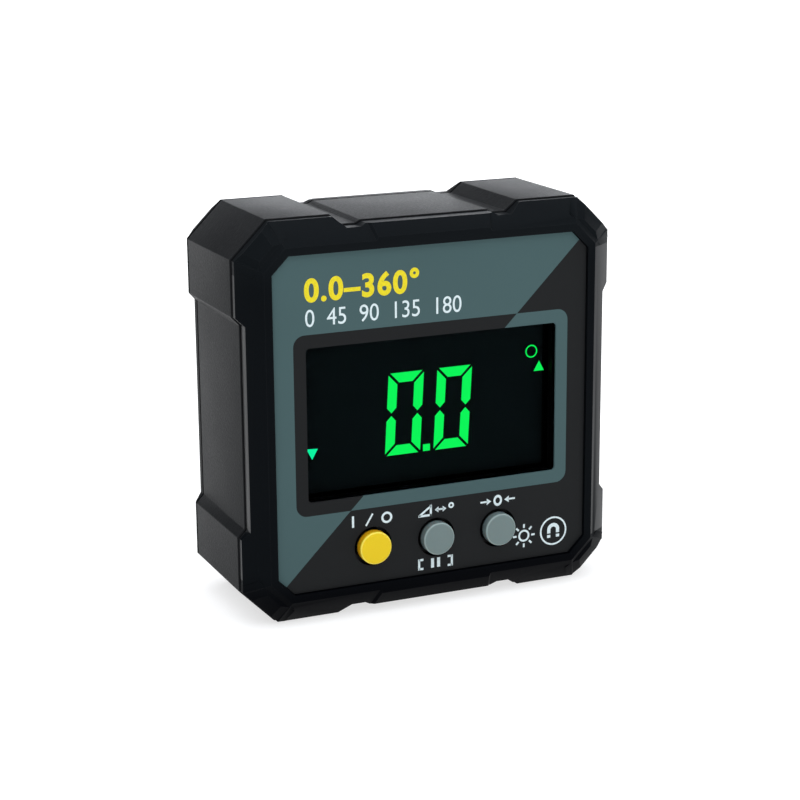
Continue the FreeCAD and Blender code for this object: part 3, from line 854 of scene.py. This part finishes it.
class Print:
    """Flat marks in a plane that faces the front, gathered into one mesh."""

    def __init__(self, depth):
        self.depth = depth
        self.shape = bmesh.new()

    def polygon(self, points):
        corners = [self.shape.verts.new(Vector((x, self.depth, z)) * mm) for x, z in points]
        face = self.shape.faces.new(corners)
        face.normal_update()
        if face.normal.y > 0:
            face.normal_flip()

    def bar(self, start, end, width):
        along = (Vector(end) - Vector(start)).normalized() * (width / 2)
        side = Vector((-along.y, along.x))
        start, end = Vector(start), Vector(end)
        self.polygon([start - side, end - side, end + side, start + side])

    def arc(self, centre, radius, width, start=0, end=360, stretch=1.0):
        """Band along an arc; radius is that of its middle line."""
        steps = max(fewest_steps, int(abs(end - start) / arc_step))
        inner = arc_points((0, 0), radius - width / 2, start, end, steps)
        outer = arc_points((0, 0), radius + width / 2, start, end, steps)
        for i in range(steps):
            corners = [inner[i], outer[i], outer[i + 1], inner[i + 1]]
            self.polygon([(centre[0] + x, centre[1] + z * stretch) for x, z in corners])

    def words(self, text, place, weight=0.0, spacing=1.0):
        """Lettering stretched to fill the place from its lower left to its upper right corner."""
        curve = bpy.data.curves.new("lettering", "FONT")
        curve.body = text
        curve.offset = weight
        curve.space_character = spacing
        curve.resolution_u = letter_steps
        holder = bpy.data.objects.new("lettering", curve)
        mesh = bpy.data.meshes.new_from_object(holder)
        low = [min(v.co[i] for v in mesh.vertices) for i in (0, 1)]
        high = [max(v.co[i] for v in mesh.vertices) for i in (0, 1)]
        scale = [(place[1][i] - place[0][i]) / (high[i] - low[i]) for i in (0, 1)]
        for v in mesh.vertices:
            x = place[0][0] + (v.co.x - low[0]) * scale[0]
            z = place[0][1] + (v.co.y - low[1]) * scale[1]
            v.co = Vector((x, self.depth, z)) * mm
        self.shape.from_mesh(mesh)
        bpy.data.objects.remove(holder)
        bpy.data.curves.remove(curve)
        bpy.data.meshes.remove(mesh)

    def finish(self, name, material, slot):
        bmesh.ops.remove_doubles(self.shape, verts=self.shape.verts, dist=ink_weld * mm)
        bmesh.ops.recalc_face_normals(self.shape, faces=self.shape.faces)
        for face in self.shape.faces:
            if face.normal.y > 0:
                face.normal_flip()
        new_piece(name, self.shape, [material])


def print_caption(marks, place, strokes, tips=(), rings=(), sides=(1,)):
    """Strokes, tips and rings round a place; with both sides given, strokes and tips are mirrored."""

    def at(point, side=1):
        return place[0] + side * point[0], place[1] + point[1]

    for side in sides:
        for start, end, width in strokes:
            marks.bar(at(start, side), at(end, side), width)
        for tip in tips:
            marks.polygon([at(point, side) for point in tip])
    for centre, radius, width, stretch in rings:
        marks.arc(at(centre), radius, width, stretch=stretch)


def print_captions(marks):
    """On and off, a slope with its degrees, a pause mark in brackets, and a nought between two arrows."""
    both = (-1, 1)
    print_caption(marks, power_caption, power_strokes, rings=power_rings)
    print_caption(marks, mode_caption, mode_strokes, mode_tips, mode_rings)
    print_caption(marks, hold_caption, hold_strokes, sides=both)
    print_caption(marks, zero_caption, zero_strokes, zero_tips, zero_rings, both)


def print_lamp_mark(marks):
    """Ring with rays all round."""
    marks.arc(lamp_mark, lamp_ring, mark_line)
    centre = Vector(lamp_mark)
    for ray in range(lamp_rays):
        angle = 2 * math.pi * ray / lamp_rays
        out = Vector((math.cos(angle), math.sin(angle)))
        marks.bar(centre + out * ray_start, centre + out * ray_end, mark_line)


def print_magnet_mark(marks):
    """Horseshoe magnet in a ring."""
    x, z = magnet_mark
    marks.arc(magnet_mark, magnet_ring, mark_line * 0.9)
    marks.arc((x, z + magnet_bend_rise), magnet_bend, magnet_bar, 0, 180)
    for side in (-1, 1):
        leg = x + side * magnet_bend
        for high, low in magnet_legs:
            marks.bar((leg, z + high), (leg, z + low), magnet_bar)


def make_label_print():
    title = Print(label_front - ink_lift)
    title.words(title_words, title_place, title_weight, title_spacing)
    title.finish("title_print", yellow_ink, "label_film")
    marks = Print(label_front - ink_lift)
    marks.words(scale_words, scale_place)
    print_captions(marks)
    print_lamp_mark(marks)
    print_magnet_mark(marks)
    marks.finish("white_print", white_ink, "label_film")


def print_nought(marks, left):
    """Six lit bars of a leaning seven-bar digit."""
    wide, tall, bar, cut = digit_width, digit_height, digit_bar, digit_cut
    middle = tall / 2
    tip = middle + digit_tip
    shoulder = middle + digit_shoulder
    side = [
        (0.0, tall - cut), (0.0, shoulder), (bar / 2, tip), (bar, shoulder), (bar, tall - bar - cut),
    ]
    end = [(cut, tall), (bar + cut, tall - bar), (wide - bar - cut, tall - bar), (wide - cut, tall)]
    bars = [end, [(u, tall - v) for u, v in end]]
    for outline in (side, [(wide - u, v) for u, v in side]):
        bars += [outline, [(u, tall - v) for u, v in outline]]
    for outline in bars:
        marks.polygon([(left + u + digit_slant * v, digit_base + v) for u, v in outline])


def make_display_marks():
    marks = Print(display_front - display_lift)
    for left in digit_places:
        print_nought(marks, left)
    (left, low), (right, high) = dot_place
    marks.polygon([(left, low), (right, low), (right, high), (left, high)])
    marks.arc(degree_centre, degree_radius - degree_line / 2, degree_line)
    marks.polygon(up_mark)
    marks.polygon(down_mark)
    marks.finish("display_marks", lit_marks, "display_glass")


def grey(level):
    return (level, level, level)


def make_floor():
    """White paper that glows a little by itself, so that the shadow on it stays faint."""
    finish = Finish("floor_paper", roughness=0.9, specular=0.0)
    fibres = finish.noise(0.02, 4.0)
    away = finish.node("VectorMath", {"operation": "LENGTH"}, {"Vector": finish.place()}, "Value")
    far = (away * (1 / mm)).between(*far_floor)
    finish.set({
        "Base Color": finish.mix(fibres, *(grey(level) for level in floor_grey)),
        "Emission Color": finish.mix(far, grey(floor_glow), grey(floor_glow + far_glow)),
        "Emission Strength": 1.0,
    })
    shape = bmesh.new()
    bmesh.ops.create_grid(shape, x_segments=1, y_segments=1, size=floor_half * mm)
    mesh = bpy.data.meshes.new("floor")
    shape.to_mesh(mesh)
    shape.free()
    mesh.materials.append(finish.material)
    floor = bpy.data.objects.new("floor", mesh)
    bpy.context.scene.collection.objects.link(floor)


def aim(direction, roll):
    """Rotation that looks along a direction, tilted to the right by roll in degrees."""
    return direction.to_track_quat("-Z", "Y") @ Quaternion((0, 0, 1), math.radians(-roll))


def make_camera():
    data = bpy.data.cameras.new("camera")
    data.sensor_width = sensor_width
    data.lens = sensor_width * focal_share
    turn = math.radians(camera_turn)
    height = math.radians(camera_height)
    sight = Vector((
        -math.sin(turn) * math.cos(height), math.cos(turn) * math.cos(height), -math.sin(height),
    ))
    camera = bpy.data.objects.new("camera", data)
    camera.rotation_mode = "QUATERNION"
    camera.rotation_quaternion = aim(sight, camera_roll)
    camera.location = (Vector(camera_aim) - sight * camera_distance) * mm
    bpy.context.scene.collection.objects.link(camera)
    bpy.context.scene.camera = camera


def make_studio():
    """Soft light from all round: brightest overhead and low behind the part, dim at middle heights."""
    world = bpy.data.worlds.new("studio")
    sky = Graph(world, "Background")
    direction = {"Vector": sky.node("TexCoord", output="Generated")}
    across, back, height = (sky.node("SeparateXYZ", inputs=direction, output=axis) for axis in "XYZ")

    def low_light(toward, turns, heights):
        turned = across * toward[0] + back * toward[1]
        return turned.between(*turns) * (1.0 - height.between(*heights))

    overhead = height.between(*overhead_heights) * sky_overhead
    front = (back * -1.0).between(*front_turns) * sky_front
    horizon = (1.0 - height.between(*horizon_heights)) * sky_horizon
    behind = low_light(behind_toward, behind_turns, behind_heights) * sky_behind
    right = low_light(right_toward, right_turns, horizon_heights) * sky_right
    sky.set({"Color": sky_colour, "Strength": sky_middle + overhead + front + horizon + behind + right})
    bpy.context.scene.world = world
    bpy.context.scene.view_settings.view_transform = "Standard"


dress_cad_nodes()
make_shells()
make_label()
make_label_print()
make_display_marks()
make_floor()
make_camera()
make_studio()
